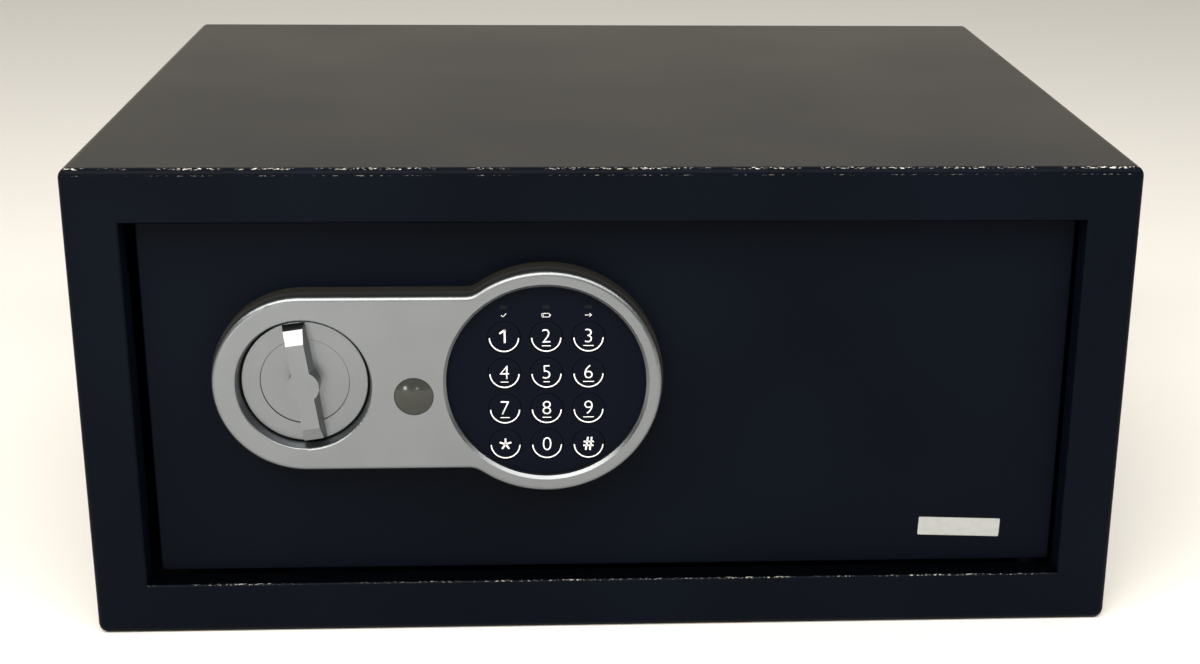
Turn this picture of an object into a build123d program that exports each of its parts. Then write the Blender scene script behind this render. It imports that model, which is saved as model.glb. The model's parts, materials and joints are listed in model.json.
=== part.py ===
from build123d import *
import math
import os

# Front-opening electronic safe. Millimetres. The origin is the centre of the underside,
# +Z is up, +X is to the right and the door faces -Y.

# Cabinet
body_width = 430.0
body_depth = 350.0
body_height = 200.0
sheet = 2.0  # folded steel
side_bend = 4.0  # outer radius of the four long bends
front_bend = 3.0  # outer radius of the bend round the front
frame_face = 22.0  # face of the frame round the opening
frame_return = 11.5  # depth that the frame turns inwards round the opening
frame_bend = 1.2
anchor_radius = 5.0
anchor_pitch_x = 300.0
anchor_pitch_y = 200.0
back_anchor_pitch = 220.0
mat_thickness = 2.0
mat_margin = 3.0
mat_hole_radius = 14.0
strike_width = 14.0
strike_overlap = 18.0  # strike beyond the axes of the bolts, above and below
strike_play = 0.7
stop_width = 20.0
stop_reach = 5.0
stop_play = 0.5

# Door
door_recess = 10.0
door_thickness = 4.0
lock_gap = 4.5
hinge_gap = 2.0
top_gap = 2.0
bottom_gap = 2.5
door_corner = 1.0
door_edge = 0.5  # bevel round the door's face

# Hinge
hinge_inset = 8.0
hinge_set_back = 9.0
hinge_pin_radius = 4.0
running_clearance = 0.06
bracket_thickness = 3.0
bracket_foot = 12.0
bracket_depth = 25.0
lug_height = 12.0
lug_wall = 2.5
bracket_wall = 5.0  # from the pin to the bracket's free edge
pin_end = 1.5  # pin beyond its bracket
washer_wall = 2.2
washer_play = 0.15

# Lock panel on the door's face
knob_inset = 64.9  # from the door's lock side to the knob's axis
panel_lift = 11.05  # panel's centre line above the door's mid height
knob_to_keypad = 98.1
knob_to_cap = 44.2
cap_drop = 5.1
arm_half = 37.05
neck_radius = 9.0
base_depth = 7.0
base_margin = 0.6
fascia_depth = 6.0
fascia_round = 2.0
panel_wall = 2.5
boss_radius = 2.6
boss_length = 4.4
screw_radius = 1.3
screw_head_radius = 2.6
screw_head_height = 1.6
panel_boss_rise = 28.0
panel_boss_edge = 2.7

# Keypad
face_margin = 1.86  # from the outermost key's edge to the window's edge
rim_width = 6.5
window_bevel = 1.2
face_recess = 3.2
face_thickness = 1.5
face_clearance = 0.1
key_pitch_x = 17.1
key_pitch_z = 15.45
key_top_rise = 18.9  # from the panel's centre line to the upper row
key_radius = 6.6
key_clearance = 0.2
key_proud = 0.3
key_flange = 0.4
key_flange_thickness = 0.7
key_travel = 1.0
key_play = 0.3
key_stem_radius = 2.0
key_stem = 0.6
membrane_thickness = 1.0
board_thickness = 1.6
lens_rise = 31.7
lens_width = 3.0
lens_height = 1.6
lens_proud = 0.1
post_radius = 2.5
post_inset = 6.0

# Knob and its drive
knob_radius = 25.65
knob_gap = 0.65
well_flare = 1.1  # by which the well opens out to its mouth
well_lip = 0.7
knob_sunk = 5.3
knob_disc = 2.6
knob_dish_radius = 18.0
knob_dish = 0.5
knob_bar_width = 9.4  # at its foot
knob_bar_draft = 7.5  # degrees
knob_bar_height = 8.0
knob_bar_tilt = 8.0
knob_bar_inset = 0.6  # of the bar's ends from the disc's edge
knob_hub_radius = 6.5
knob_end_lean = 1.5  # by which the bar's ends lean in up to their bevels
knob_bevel_length = 5.6
knob_bevel_depth = 3.0
knob_boss_radius = 7.5
spindle_radius = 4.0
spindle_in_hub = 5.6  # spindle in front of the knob's disc
spindle_reach = 7.0  # spindle behind its bush
spindle_square = 5.4
bush_wall = 2.0
bush_flange = 3.5
bush_flange_thickness = 2.5
bush_nose = 4.0
bush_tail = 7.0
cam_thickness = 3.8
cam_hub_radius = 7.0
cam_end_radius = 5.2
pin_radius = 3.0
yoke_clearance = 0.5

# Bolt work
bolt_travel = 16.0
bolt_radius = 9.0
bolt_edge = 28.0  # from the inner cover's edge to the nearer bolt's axis
bolt_lift = 0.8  # gap between the bolts and the door's back
bolt_bevel = 1.4
guide_inset = 1.0
guide_thickness = 3.0
guide_clearance = 0.1
carriage_thickness = 2.5
carriage_gap = 1.7
carriage_length = 36.0
carriage_flange_end = 12.0
carriage_arm_half = 20.3
carriage_arm_end = 8.0
carriage_corner_share = 0.23  # of the step between the arm and the carriage's top
carriage_stop_gap = 2.5
flange_setback = 6.0
stud_radius = 3.0
stud_shoulder = 2.0
stud_play = 0.3
stud_offset = 10.0
stud_spread = 25.0  # from the bolts' mid height to each stud
clip_thickness = 1.2
clip_reach = 2.4
bolt_screw_radius = 3.0
bolt_screw_head = 5.0
bolt_screw_head_height = 3.0
bolt_screw_socket = 1.5
bolt_screw_socket_depth = 2.0
bolt_screw_depth = 14.0

# Solenoid lock
plunger_offset = 27.0  # from the knob's axis to the plunger's axis
plunger_radius = 4.0
plunger_travel = 4.0
plunger_gap = 1.0
plunger_bevel = 1.0
notch_clearance = 0.6
notch_spare = 1.0
coil_radius = 8.0
coil_height = 24.0
coil_bore_clearance = 0.3
solenoid_half = 10.0
solenoid_plate = 2.0
spring_length = 7.5
spring_wall = 0.8
spring_clearance = 0.5
collar_thickness = 1.0
collar_reach = 3.0
plunger_tip = 4.5

# Key-operated override
override_radius = 7.0
override_head = 0.7
override_head_thickness = 1.5
override_core_radius = 4.2
keyway_width = 1.4
keyway_height = 5.6
keyway_depth = 9.0
core_square = 4.6
tongue_length = 19.7  # from the plug's axis to the centre of the tongue's round end
tongue_end_radius = 3.0
tongue_hub_radius = 5.2
tongue_thickness = 2.0
tongue_clearance = 0.25  # between the tongue and the plunger that it passes
override_nut_flats = 20.0
override_nut_thickness = 3.0
cap_radius = 7.85
cap_hole_clearance = 0.2
cap_dome = 1.4
cap_wall = 1.2
cap_skirt = 3.0
seat_gap = 0.3

# Inside of the door
cover_depth = 34.0
cover_sheet = 1.2
cover_edge = 11.5
cover_top_edge = 8.0
cover_bend = 2.0
cover_post_radius = 4.0
cover_screw_radius = 2.0
cover_screw_head = 3.6
cover_screw_head_height = 2.2
cover_screw_depth = 10.0
cover_screw_inset = 8.0
cover_screw_slot_width = 0.9
cover_screw_slot_depth = 1.0
cover_post_offset = 13.1  # from the knob's axis to the posts on the lock side
board_width = 70.0
board_height = 48.0
board_lift = 8.0
board_gap = 16.3  # from the panel's centre line down to the board
board_corner = 4.0
chip_half = 8.0
chip_height = 2.4
connector_height = 9.4
connector_size = 6.0
lead_radius = 1.4
battery_lead = 17.0  # free length of the leads between the board and the battery tray
lead_hole_radius = 7.0
lead_bend = 7.0

# Battery compartment and code button
cell_radius = 7.1
cell_length = 50.5
cell_count = 4
cell_gap = 0.6
cell_end_room = 4.5
cell_seat = 0.1
cell_nub_radius = 2.6
cell_nub = 1.0
tray_wall = 2.0
tray_rim = 6.0
tray_rim_thickness = 1.0
tray_inset = 32.0  # from the cells' bay to the cover's hinge side
lid_thickness = 1.5
lid_play = 0.2
lid_lip = 2.0
rail_width = 2.0
rail_lip_thickness = 1.3
lid_grip_count = 5
lid_grip_pitch = 3.0
lid_grip_drop = 6.0  # from the lid's upper edge to its first rib
lid_grip_half = 12.0
lid_grip_width = 1.2
lid_grip_height = 0.6
reset_radius = 3.4
reset_clearance = 0.2
reset_proud = 2.2
reset_round = 0.6
reset_travel = 1.5
reset_length = 10.2
reset_switch_half = 6.0
reset_switch_depth = 11.8
reset_offset = 20.0
reset_drop = 24.0

# Depths, from the front of the frame to the inside
front = -body_depth / 2
back = body_depth / 2
door_front = front + door_recess
door_back = door_front + door_thickness
base_front = door_front - base_depth
fascia_front = base_front - fascia_depth
base_floor = door_front - panel_wall
fascia_inner = fascia_front + panel_wall
face_front = fascia_front + face_recess
face_back = face_front + face_thickness
key_front = face_front - key_proud
flange_front = face_back + key_play
flange_back = flange_front + key_flange_thickness
stem_back = flange_back + key_stem
membrane_front = stem_back + key_travel + face_clearance
membrane_back = membrane_front + membrane_thickness
board_back = membrane_back + board_thickness
knob_front = fascia_front + knob_sunk
knob_back = knob_front + knob_disc
bar_front = knob_front - knob_bar_height
bush_front = door_front - bush_nose
bush_back = door_back + bush_tail
cover_back = door_back + cover_depth
cover_inner = cover_back - cover_sheet
bolt_y = door_back + bolt_radius + bolt_lift
cam_front = bush_back + spindle_reach
cam_back = cam_front + cam_thickness
carriage_front = cam_back + carriage_gap
carriage_back = carriage_front + carriage_thickness
carriage_mid = (carriage_front + carriage_back) / 2
clip_front = carriage_back + stud_play
clip_back = clip_front + clip_thickness
spindle_front = knob_front - spindle_in_hub
override_face = fascia_front + cap_skirt + seat_gap
tongue_back = carriage_mid - plunger_radius - tongue_clearance
tongue_front = tongue_back - tongue_thickness
override_end = tongue_front - seat_gap

# The keypad's window, grown from its keys
key_corner = math.hypot(key_pitch_x, 3 * key_pitch_z - key_top_rise)
ledge_radius = key_corner + key_radius + key_flange + key_clearance
window_radius = key_corner + key_radius + face_margin
lobe_radius = window_radius + rim_width
mouth_radius = knob_radius + knob_gap + well_flare
post_circle = ledge_radius - post_inset

# Places across and up
opening_right = body_width / 2 - frame_face
opening_left = -opening_right
opening_bottom = frame_face
opening_top = body_height - frame_face
door_left = opening_left + lock_gap
door_right = opening_right - hinge_gap
door_bottom = opening_bottom + bottom_gap
door_top = opening_top - top_gap
hinge_x = door_right - hinge_inset
hinge_y = door_front + hinge_set_back
knob_x = door_left + knob_inset
keypad_x = knob_x + knob_to_keypad
cap_x = knob_x + knob_to_cap
panel_z = (door_bottom + door_top) / 2 + panel_lift
cap_z = panel_z - cap_drop
guide_left = door_left + guide_inset
guide_right = guide_left + guide_thickness
flange_left = guide_right + bolt_travel + carriage_stop_gap
flange_right = flange_left + carriage_thickness
cover_bottom = door_bottom + cover_edge
cover_top = door_top - cover_top_edge
pin_orbit = bolt_travel / math.sqrt(2)
pin_x = knob_x + bolt_travel / 2
pin_z = panel_z + bolt_travel / 2
plunger_x = knob_x + plunger_offset
arm_bottom = panel_z - carriage_arm_half
arm_right = plunger_x + bolt_travel + carriage_arm_end
stud_x = flange_right + stud_offset
plunger_top = arm_bottom - plunger_gap
collar_bottom = plunger_top - plunger_tip - collar_thickness
solenoid_top = collar_bottom - spring_length
solenoid_bottom = solenoid_top - coil_height - 2 * solenoid_plate
key_columns = [keypad_x + step * key_pitch_x for step in (-1, 0, 1)]
key_rows = [panel_z + key_top_rise - step * key_pitch_z for step in range(4)]
bay_length = cell_length + 2 * cell_end_room
bay_height = cell_count * (2 * cell_radius + cell_gap)
board_x = keypad_x - board_width / 2
board_z = panel_z - board_gap - board_height
bay_x = board_x + board_width + battery_lead + tray_wall
cover_end = bay_x + bay_length + tray_inset
bay_z = (cover_bottom + cover_top - bay_height) / 2
bay_depth = 2 * cell_radius + 2 * cell_seat
bay_front = cover_back - bay_depth - rail_width
reset_x = bay_x - tray_rim - reset_offset
reset_z = cover_top - reset_drop
bolt_low = cover_bottom + bolt_edge
bolt_high = cover_top - bolt_edge
bolt_mid = (bolt_low + bolt_high) / 2
carriage_step = bolt_high + carriage_flange_end - panel_z - carriage_arm_half
carriage_corner = carriage_corner_share * carriage_step

KEY_NAMES = [
    ["key_1", "key_2", "key_3"],
    ["key_4", "key_5", "key_6"],
    ["key_7", "key_8", "key_9"],
    ["key_star", "key_0", "key_hash"],
]


def block(x0, x1, y0, y1, z0, z1):
    """A plain block between two corners."""
    centre = Pos((x0 + x1) / 2, (y0 + y1) / 2, (z0 + z1) / 2)
    return centre * Box(x1 - x0, y1 - y0, z1 - z0)


def rod_x(y, z, radius, x0, x1):
    """A round bar across the safe."""
    return Pos((x0 + x1) / 2, y, z) * Rot(0, 90, 0) * Cylinder(radius, x1 - x0)


def rod_y(x, z, radius, y0, y1):
    """A round bar from front to back."""
    return Pos(x, (y0 + y1) / 2, z) * Rot(90, 0, 0) * Cylinder(radius, y1 - y0)


def cone_y(x, z, front_radius, back_radius, y0, y1):
    """A cone from front to back."""
    return Pos(x, (y0 + y1) / 2, z) * Rot(90, 0, 0) * Cone(back_radius, front_radius, y1 - y0)


def rod_z(x, y, radius, z0, z1):
    """An upright round bar."""
    return Pos(x, y, (z0 + z1) / 2) * Cylinder(radius, z1 - z0)


def slab(face, y0, y1):
    """An outline drawn on the front view, made solid between two depths."""
    return extrude(Plane.XZ.offset(-y1) * face, y1 - y0)


def front_edges(solid):
    """The edges that lie in a solid's foremost plane."""
    return solid.edges().group_by(Axis.Y)[0]


def save(name, *solids):
    """Write one node, as one solid or as a group of like solids."""
    shape = solids[0] if len(solids) == 1 else Compound(children=list(solids))
    shape.label = name
    export_step(shape, f"parts/{name}.step")


# Cabinet


def body_outline(inset, radius):
    """The body's outline on the front view, drawn in by an inset."""
    outline = RectangleRounded(body_width - 2 * inset, body_height - 2 * inset, radius)
    return Pos(0, body_height / 2) * outline


def base_anchors():
    """The four places of the floor anchors."""
    spread_x = anchor_pitch_x / 2
    spread_y = anchor_pitch_y / 2
    return [(x, y) for x in (-spread_x, spread_x) for y in (-spread_y, spread_y)]


def body_wrap():
    """Top, sides and floor folded from one sheet, with its bent front edge."""
    outer = slab(body_outline(0, side_bend), front, back)
    outer = fillet(front_edges(outer), front_bend)
    inner = slab(body_outline(sheet, side_bend - sheet), front + sheet, back)
    inner = fillet(front_edges(inner), front_bend - sheet)
    mouth = slab(body_outline(front_bend, side_bend - front_bend), front, front + sheet)
    wrap = outer - inner - mouth
    for x, y in base_anchors():
        wrap -= rod_z(x, y, anchor_radius, 0, sheet)
    return wrap


def opening_outline(grow):
    """The door opening's outline, grown on all sides."""
    width = opening_right - opening_left + 2 * grow
    height = opening_top - opening_bottom + 2 * grow
    centre = Pos((opening_left + opening_right) / 2, (opening_bottom + opening_top) / 2)
    return centre * Rectangle(width, height)


def front_frame():
    """Face ring set inside the front bend, turned inwards round the opening."""
    face = slab(body_outline(front_bend, side_bend - front_bend), front, front + sheet)
    turned = slab(opening_outline(sheet), front, front + frame_return)
    opening = slab(opening_outline(0), front, front + frame_return)
    frame = face + turned - opening
    inner_edges = [
        edge
        for edge in front_edges(frame)
        if abs(edge.center().X) <= opening_right and opening_bottom <= edge.center().Z <= opening_top
    ]
    return fillet(inner_edges, frame_bend)


def back_panel():
    """Flat back welded inside the wrap, with two wall anchor holes."""
    panel = slab(body_outline(sheet, side_bend - sheet), back - sheet, back)
    for x in (-back_anchor_pitch / 2, back_anchor_pitch / 2):
        panel -= rod_y(x, body_height / 2, anchor_radius, back - sheet, back)
    return panel


def floor_mat():
    """Loose mat on the floor, cut away round the anchors."""
    half = body_width / 2 - sheet - mat_margin
    mat = block(
        -half,
        half,
        front + sheet + mat_margin,
        back - sheet - mat_margin,
        sheet,
        sheet + mat_thickness,
    )
    for x, y in base_anchors():
        mat -= rod_z(x, y, mat_hole_radius, sheet, sheet + mat_thickness)
    return mat


def strike_plate():
    """Strip behind the frame that the thrown bolts bear on."""
    return block(
        opening_left - strike_width,
        opening_left,
        front + frame_return,
        bolt_y - bolt_radius - strike_play,
        bolt_low - strike_overlap,
        bolt_high + strike_overlap,
    )


def stop_tab():
    """Angle on the upper return that the door's plate closes against."""
    leg_front = door_back + stop_play
    leg_back = leg_front + sheet
    shelf = opening_top + sheet
    flat = block(
        knob_x - stop_width / 2,
        knob_x + stop_width / 2,
        front + sheet,
        leg_back,
        shelf,
        shelf + sheet,
    )
    leg = block(
        knob_x - stop_width / 2,
        knob_x + stop_width / 2,
        leg_front,
        leg_back,
        door_top - stop_reach,
        shelf,
    )
    return flat + leg


def lower_stop_tab():
    """The same angle under the lower return."""
    leg_front = door_back + stop_play
    leg_back = leg_front + sheet
    shelf = opening_bottom - sheet
    flat = block(
        knob_x - stop_width / 2,
        knob_x + stop_width / 2,
        front + sheet,
        leg_back,
        shelf - sheet,
        shelf,
    )
    leg = block(
        knob_x - stop_width / 2,
        knob_x + stop_width / 2,
        leg_front,
        leg_back,
        shelf,
        door_bottom + stop_reach,
    )
    return flat + leg


def hinge_bracket(shelf, direction):
    """Angle welded to the return and the side wall, bored for a hinge pin."""
    wall = body_width / 2 - sheet
    plate_end = shelf + direction * bracket_thickness
    foot_end = plate_end + direction * bracket_foot
    near = front + front_bend
    depth_end = near + bracket_depth
    left = hinge_x - hinge_pin_radius - bracket_wall
    plate = block(left, wall, near, depth_end, min(shelf, plate_end), max(shelf, plate_end))
    foot = block(
        wall - bracket_thickness,
        wall,
        near,
        depth_end,
        min(plate_end, foot_end),
        max(plate_end, foot_end),
    )
    bore = rod_z(
        hinge_x,
        hinge_y,
        hinge_pin_radius + running_clearance,
        min(shelf, plate_end),
        max(shelf, plate_end),
    )
    return plate + foot - bore


# Door


def door_plate():
    """Flat steel door with its holes for the lock panel and the hinge side."""
    width = door_right - door_left
    height = door_top - door_bottom
    outline = Pos((door_left + door_right) / 2, (door_bottom + door_top) / 2) * RectangleRounded(
        width, height, door_corner
    )
    plate = slab(outline, door_front, door_back)
    plate = chamfer(front_edges(plate), door_edge)
    plate -= rod_y(knob_x, panel_z, spindle_radius + bush_wall, door_front, door_back)
    plate -= rod_y(cap_x, cap_z, override_radius + face_clearance, door_front, door_back)
    plate -= rod_y(keypad_x, panel_z, lead_hole_radius, door_front, door_back)
    for x, z in panel_bosses():
        plate -= rod_y(x, z, screw_radius + face_clearance, door_front, door_back)
    return plate


def lug_span(upper):
    """Lower and upper height of a hinge lug."""
    if upper:
        return door_top - lug_height, door_top
    return door_bottom, door_bottom + lug_height


def hinge_lug(upper):
    """Block welded behind the door that holds a hinge pin."""
    low, high = lug_span(upper)
    half = hinge_pin_radius + lug_wall
    body = block(hinge_x - half, hinge_x + half, door_back, hinge_y, low, high)
    knuckle = rod_z(hinge_x, hinge_y, half, low, high)
    in_front = block(hinge_x - half, hinge_x + half, door_front - half, door_back, low, high)
    bore = rod_z(hinge_x, hinge_y, hinge_pin_radius, low, high)
    return body + knuckle - in_front - bore


def hinge_pin(upper):
    """Pin fixed in its lug that turns in the bracket on the cabinet."""
    low, high = lug_span(upper)
    end = sheet + bracket_thickness + pin_end
    if upper:
        return rod_z(hinge_x, hinge_y, hinge_pin_radius, low, opening_top + end)
    return rod_z(hinge_x, hinge_y, hinge_pin_radius, opening_bottom - end, high)


def hinge_washer():
    """Spacer on the lower pin that carries the door's weight."""
    low = opening_bottom - sheet + washer_play
    high = lug_span(False)[0]
    outer = rod_z(hinge_x, hinge_y, hinge_pin_radius + washer_wall, low, high)
    return outer - rod_z(hinge_x, hinge_y, hinge_pin_radius, low, high)


# Lock panel


def panel_outline(grow):
    """A stadium round the knob that runs into a larger circle round the keypad."""
    lobe = Pos(keypad_x, panel_z) * Circle(lobe_radius + grow)
    end = Pos(knob_x, panel_z) * Circle(arm_half + grow)
    arm = Pos((knob_x + keypad_x) / 2, panel_z) * Rectangle(
        keypad_x - knob_x, 2 * (arm_half + grow)
    )
    outline = lobe + end + arm
    neck = [
        corner
        for corner in outline.vertices()
        if corner.X < keypad_x
        and abs(math.dist((corner.X, corner.Y), (keypad_x, panel_z)) - lobe_radius - grow) < 0.01
    ]
    return fillet(neck, neck_radius - grow)


def panel_bosses():
    """Places of the four screws that hold the panel from behind the door."""
    reach = arm_half - panel_wall - panel_boss_edge
    lobe_reach = lobe_radius - panel_wall - panel_boss_edge
    return [
        (knob_x - reach, panel_z),
        (cap_x, panel_z + panel_boss_rise),
        (cap_x, panel_z - panel_boss_rise),
        (keypad_x + lobe_reach, panel_z),
    ]


def keypad_posts():
    """Places of the three posts under the keypad's board."""
    turns = [math.radians(angle) for angle in (90, 210, 330)]
    return [
        (keypad_x + post_circle * math.cos(turn), panel_z + post_circle * math.sin(turn))
        for turn in turns
    ]


def panel_base():
    """Moulded plinth between the door and the fascia, hollow in front."""
    base = slab(panel_outline(base_margin), base_front, door_front)
    base -= slab(panel_outline(base_margin - panel_wall), base_front, base_floor)
    for x, z in panel_bosses():
        base += rod_y(x, z, boss_radius, base_floor - boss_length, base_floor)
        base -= rod_y(x, z, screw_radius, base_floor - boss_length, door_front)
    for x, z in keypad_posts():
        base += rod_y(x, z, post_radius, board_back, base_floor)
    base -= rod_y(
        knob_x, panel_z, spindle_radius + bush_wall + face_clearance, base_floor, door_front
    )
    base -= rod_y(cap_x, cap_z, override_radius + face_clearance, base_floor, door_front)
    base -= rod_y(keypad_x, panel_z, lead_hole_radius, base_floor, door_front)
    return base


def knob_well():
    """The hole that the knob sits in, tapered towards the back."""
    radius = knob_radius + knob_gap
    taper = cone_y(knob_x, panel_z, mouth_radius, radius, fascia_front, knob_front)
    return taper + rod_y(knob_x, panel_z, radius, knob_front, knob_back)


def panel_fascia():
    """Satin cover with a rolled edge, the knob's well and the keypad's window."""
    fascia = slab(panel_outline(0), fascia_front, base_front)
    fascia = fillet(front_edges(fascia), fascia_round)
    fascia -= slab(panel_outline(-panel_wall), fascia_inner, base_front)
    well_wall = knob_radius + knob_gap + panel_wall
    cap_hole = cap_radius + cap_hole_clearance
    fascia += rod_y(knob_x, panel_z, well_wall, fascia_inner, knob_back)
    fascia += rod_y(keypad_x, panel_z, window_radius + panel_wall, fascia_inner, base_front)
    fascia += rod_y(cap_x, cap_z, cap_hole + panel_wall, fascia_inner, base_front)
    fascia -= knob_well()
    mouth = [
        edge
        for edge in front_edges(fascia)
        if edge.geom_type == GeomType.CIRCLE and abs(edge.radius - mouth_radius) < 0.01
    ]
    fascia = fillet(mouth, well_lip)
    fascia -= rod_y(cap_x, cap_z, cap_hole, fascia_front, base_front)
    fascia -= rod_y(keypad_x, panel_z, ledge_radius, fascia_front, base_front)
    fascia -= rod_y(keypad_x, panel_z, window_radius, fascia_front, face_back)
    window_mouth = window_radius + window_bevel
    bevel_back = fascia_front + window_bevel
    fascia -= cone_y(keypad_x, panel_z, window_mouth, window_radius, fascia_front, bevel_back)
    return fascia


def panel_screw(x, z):
    """Screw through the door into one of the panel's bosses."""
    head = rod_y(x, z, screw_head_radius, door_back, door_back + screw_head_height)
    shank = rod_y(x, z, screw_radius, base_floor - boss_length / 2, door_back)
    return head + shank


# Keypad


def key_places():
    """Name and centre of each key, row by row."""
    for row, z in zip(KEY_NAMES, key_rows):
        for name, x in zip(row, key_columns):
            yield name, x, z


def keypad_face():
    """Black face plate with twelve key holes and three lamp windows."""
    face = rod_y(keypad_x, panel_z, window_radius - face_clearance, face_front, face_back)
    for name, x, z in key_places():
        face -= rod_y(x, z, key_radius + key_clearance, face_front, face_back)
    for x in key_columns:
        face -= lamp_block(x, face_front, face_back)
    return face


def lamp_block(x, y0, y1):
    """The section of a lamp window between two depths."""
    return block(
        x - lens_width / 2,
        x + lens_width / 2,
        y0,
        y1,
        panel_z + lens_rise - lens_height / 2,
        panel_z + lens_rise + lens_height / 2,
    )


def key(x, z):
    """Round key with a flange behind the face and a stem over its contact."""
    cap = rod_y(x, z, key_radius, key_front, flange_front)
    cap = fillet(front_edges(cap), key_proud / 2)
    flange = rod_y(x, z, key_radius + key_flange, flange_front, flange_back)
    stem = rod_y(x, z, key_stem_radius, flange_back, stem_back)
    return cap + flange + stem


def keypad_membrane():
    """Rubber sheet over the keypad's contacts."""
    return rod_y(keypad_x, panel_z, ledge_radius, membrane_front, membrane_back)


def keypad_board():
    """Round circuit board behind the membrane."""
    return rod_y(keypad_x, panel_z, ledge_radius, membrane_back, board_back)


# Knob and drive


def knob():
    """Turning disc with a raised bar and hub, and a boss for the spindle."""
    disc = rod_y(knob_x, panel_z, knob_radius, knob_front, knob_back)
    disc = fillet(front_edges(disc), knob_dish)
    disc -= rod_y(knob_x, panel_z, knob_dish_radius, knob_front, knob_front + knob_dish)
    shape = disc + knob_bar()
    shape += rod_y(knob_x, panel_z, knob_hub_radius, bar_front, knob_back)
    shape += rod_y(knob_x, panel_z, knob_boss_radius, knob_back, bush_front - seat_gap)
    return shape - rod_y(knob_x, panel_z, spindle_radius, spindle_front, bush_front)


def knob_bar():
    """Grip bar across the disc, narrower in front and bevelled at both ends."""
    foot = knob_front + knob_dish
    half = knob_radius - knob_bar_inset
    bevel_half = half - knob_end_lean
    front_half = bevel_half - knob_bevel_length
    side = Polyline(
        (foot, -half),
        (bar_front + knob_bevel_depth, -bevel_half),
        (bar_front, -front_half),
        (bar_front, front_half),
        (bar_front + knob_bevel_depth, bevel_half),
        (foot, half),
        close=True,
    )
    bar = Plane.XZ.offset(-foot) * Rectangle(knob_bar_width, 2 * half)
    bar = extrude(bar, foot - bar_front, taper=knob_bar_draft)
    bar &= extrude(make_face(Plane.YZ * side), knob_bar_width / 2, both=True)
    return Pos(knob_x, 0, panel_z) * Rot(0, -knob_bar_tilt, 0) * bar


def knob_spindle():
    """Steel spindle with a square tail for the drive cam."""
    shaft = rod_y(knob_x, panel_z, spindle_radius, spindle_front, cam_front)
    half = spindle_square / 2
    tail = block(knob_x - half, knob_x + half, cam_front, cam_back, panel_z - half, panel_z + half)
    return shaft + tail


def spindle_bush():
    """Flanged bush in the door that the spindle turns in."""
    radius = spindle_radius + bush_wall
    bush = rod_y(knob_x, panel_z, radius, bush_front, bush_back)
    bush += rod_y(
        knob_x, panel_z, radius + bush_flange, door_back, door_back + bush_flange_thickness
    )
    bore = spindle_radius + running_clearance
    return bush - rod_y(knob_x, panel_z, bore, bush_front, bush_back)


def drive_cam():
    """Crank on the spindle whose pin moves the bolt carriage."""
    hub = Pos(knob_x, panel_z) * Circle(cam_hub_radius)
    end = Pos(pin_x, pin_z) * Circle(cam_end_radius)
    square = Pos(knob_x, panel_z) * Rectangle(spindle_square, spindle_square)
    crank = slab(make_hull((hub + end).edges()) - square, cam_front, cam_back)
    return crank + rod_y(pin_x, pin_z, pin_radius, cam_back, clip_back)


# Bolt work


def bolt_heights():
    """Heights of the two bolts."""
    return [bolt_low, bolt_high]


def stud_heights():
    """Heights of the two guide studs."""
    return [bolt_mid - stud_spread, bolt_mid + stud_spread]


def bolt_guide():
    """Upright plate at the door's edge, bored for the bolts."""
    plate = block(
        guide_left,
        guide_right,
        door_back,
        cover_inner,
        cover_bottom + cover_sheet,
        cover_top - cover_sheet,
    )
    for z in bolt_heights():
        plate -= rod_x(bolt_y, z, bolt_radius + guide_clearance, guide_left, guide_right)
    return plate


def bolt_carriage():
    """Sliding plate that carries the bolts, slotted for its studs and the crank's pin."""
    low = bolt_low - carriage_flange_end
    high = bolt_high + carriage_flange_end
    middle = Pos(flange_left + carriage_length / 2, bolt_mid)
    plate = middle * Rectangle(carriage_length, high - low)
    arm_centre = Pos((flange_left + arm_right) / 2, panel_z)
    plate += arm_centre * Rectangle(arm_right - flange_left, 2 * carriage_arm_half)
    free_corners = [corner for corner in plate.vertices() if corner.X > flange_right]
    plate = fillet(free_corners, carriage_corner)
    for z in stud_heights():
        slot = SlotCenterToCenter(bolt_travel + yoke_clearance, 2 * (stud_radius + stud_play))
        plate -= Pos(stud_x + bolt_travel / 2, z) * slot
    plate -= yoke_slot()
    for x in (plunger_x, plunger_x + bolt_travel):
        plate -= lock_notch(x)
    solid = slab(plate, carriage_front, carriage_back)
    solid += block(
        flange_left,
        flange_right,
        bolt_y - flange_setback,
        carriage_back,
        low,
        high,
    )
    for z in bolt_heights():
        solid -= rod_x(bolt_y, z, bolt_screw_radius, flange_left, flange_right)
    return solid


def yoke_slot():
    """Upright slot that the crank's pin slides in as it swings over the top."""
    rise = pin_orbit - bolt_travel / 2
    width = 2 * (pin_radius + yoke_clearance)
    slot = SlotCenterToCenter(rise + yoke_clearance, width)
    return Pos(pin_x, pin_z + rise / 2) * Rot(0, 0, 90) * slot


def lock_notch(x):
    """Notch in the arm's lower edge for the solenoid's plunger."""
    depth = plunger_travel - plunger_gap + notch_spare
    width = 2 * (plunger_radius + notch_clearance)
    return Pos(x, arm_bottom + depth / 2) * Rectangle(width, depth)


def locking_bolt(z):
    """Round steel bolt with a bevelled nose and a threaded root."""
    bolt = rod_x(bolt_y, z, bolt_radius, guide_left, flange_left)
    nose = bolt.edges().group_by(Axis.X)[0]
    bolt = chamfer(nose, bolt_bevel)
    return bolt - rod_x(bolt_y, z, bolt_screw_radius, flange_left - bolt_screw_depth, flange_left)


def bolt_screw(z):
    """Screw that holds a bolt to the carriage's flange."""
    head_end = flange_right + bolt_screw_head_height
    head = rod_x(bolt_y, z, bolt_screw_head, flange_right, head_end)
    socket = rod_x(bolt_y, z, bolt_screw_socket, head_end - bolt_screw_socket_depth, head_end)
    shank = rod_x(bolt_y, z, bolt_screw_radius, flange_left - bolt_screw_depth, flange_right)
    return head + shank - socket


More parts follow.
